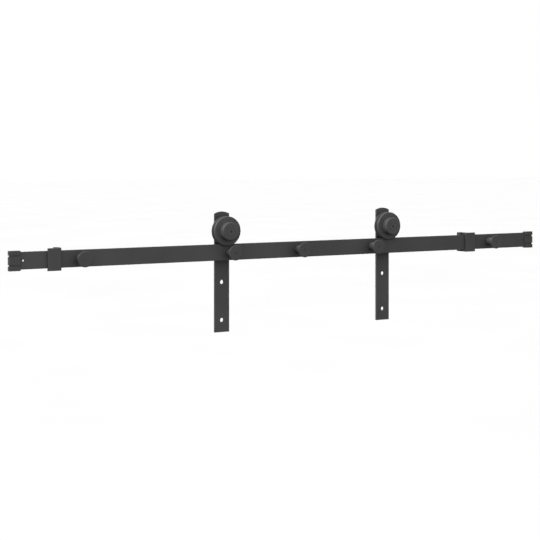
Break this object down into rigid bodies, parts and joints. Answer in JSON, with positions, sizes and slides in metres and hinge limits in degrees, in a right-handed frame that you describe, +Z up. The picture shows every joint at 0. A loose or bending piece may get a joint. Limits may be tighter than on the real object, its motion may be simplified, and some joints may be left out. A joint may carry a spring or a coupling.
{
  "type": "sliding barn door hardware",
  "caption": "Flat-rail sliding barn door hardware: wall standoffs, jointed rail, strap hangers on grooved wheels, adjustable end stops and end caps.",
  "frame": {"origin": "centre of the middle standoff's wall face, on the wall plane", "axes": "+X along the rail, +Y out of the wall towards the room, +Z up"},
  "size_m": [1.524, 0.0737, 0.2986],
  "materials": {
    "powder_black": "matte fine-textured black powder coat",
    "wheel_black": "satin black coated steel wheel",
    "fastener_black": "black oxide steel",
    "cap_plastic": "matte moulded black plastic",
    "pad_rubber": "matte black rubber",
    "seal_rubber": "matte black rubber seal",
    "cage_plastic": "moulded nylon cage",
    "bearing_steel": "ground bearing steel"
  },
  "bodies": {
    "rail": {"end_cap_left": "cap_plastic", "end_cap_right": "cap_plastic", "rail_left": "powder_black", "rail_right": "powder_black", "standoff_1": "powder_black", "standoff_2": "powder_black", "standoff_3": "powder_black", "standoff_4": "powder_black", "standoff_5": "powder_black", "wall_screws": "fastener_black", "wall_washers": "fastener_black"},
    "hanger_left": {"strap_left": "powder_black", "axle_bolt_left": "fastener_black", "axle_washer_left": "fastener_black", "spacer_bush_left": "powder_black", "thrust_collar_left": "powder_black", "hub_cap_left": "powder_black", "bearing_inner_ring_left": "bearing_steel"},
    "wheel_left": {"wheel_left": "wheel_black", "bearing_outer_ring_left": "bearing_steel", "bearing_seals_left": "seal_rubber", "circlip_left": "bearing_steel"},
    "cage_left": {"bearing_cage_left": "cage_plastic", "bearing_balls_left": "bearing_steel"},
    "stop_left": {"stop_body_left": "powder_black", "stop_set_screws_left": "fastener_black", "stop_pad_left": "pad_rubber", "stop_pad_screw_left": "fastener_black"},
    "hanger_right": {"strap_right": "powder_black", "axle_bolt_right": "fastener_black", "axle_washer_right": "fastener_black", "spacer_bush_right": "powder_black", "thrust_collar_right": "powder_black", "hub_cap_right": "powder_black", "bearing_inner_ring_right": "bearing_steel"},
    "wheel_right": {"wheel_right": "wheel_black", "bearing_outer_ring_right": "bearing_steel", "bearing_seals_right": "seal_rubber", "circlip_right": "bearing_steel"},
    "cage_right": {"bearing_cage_right": "cage_plastic", "bearing_balls_right": "bearing_steel"},
    "stop_right": {"stop_body_right": "powder_black", "stop_set_screws_right": "fastener_black", "stop_pad_right": "pad_rubber", "stop_pad_screw_right": "fastener_black"}
  },
  "joints": [
    {"name": "hanger_left_roll", "type": "slide", "parent": "rail", "child": "hanger_left", "axis": [1, 0, 0], "range_m": [-0.4, 0.2]},
    {"name": "wheel_left_spin", "type": "hinge", "parent": "hanger_left", "child": "wheel_left", "pos_m": [-0.204, 0.038, 0.052], "axis": [0, 1, 0], "continuous": true},
    {"name": "cage_left_spin", "type": "hinge", "parent": "hanger_left", "child": "cage_left", "pos_m": [-0.204, 0.038, 0.052], "axis": [0, 1, 0], "continuous": true},
    {"name": "stop_left_adjust", "type": "slide", "parent": "rail", "child": "stop_left", "axis": [1, 0, 0], "range_m": [-0.04, 0]},
    {"name": "hanger_right_roll", "type": "slide", "parent": "rail", "child": "hanger_right", "axis": [1, 0, 0], "range_m": [-0.2, 0.228]},
    {"name": "wheel_right_spin", "type": "hinge", "parent": "hanger_right", "child": "wheel_right", "pos_m": [0.276, 0.038, 0.052], "axis": [0, 1, 0], "continuous": true},
    {"name": "cage_right_spin", "type": "hinge", "parent": "hanger_right", "child": "cage_right", "pos_m": [0.276, 0.038, 0.052], "axis": [0, 1, 0], "continuous": true},
    {"name": "stop_right_adjust", "type": "slide", "parent": "rail", "child": "stop_right", "axis": [1, 0, 0], "range_m": [0, 0.03]}
  ],
  "couplings": [
    {"joint": "wheel_left_spin", "follows": "hanger_left_roll", "rad_per_m": 31.25},
    {"joint": "cage_left_spin", "follows": "hanger_left_roll", "rad_per_m": 19.531},
    {"joint": "wheel_right_spin", "follows": "hanger_right_roll", "rad_per_m": 31.25},
    {"joint": "cage_right_spin", "follows": "hanger_right_roll", "rad_per_m": 19.531}
  ]
}
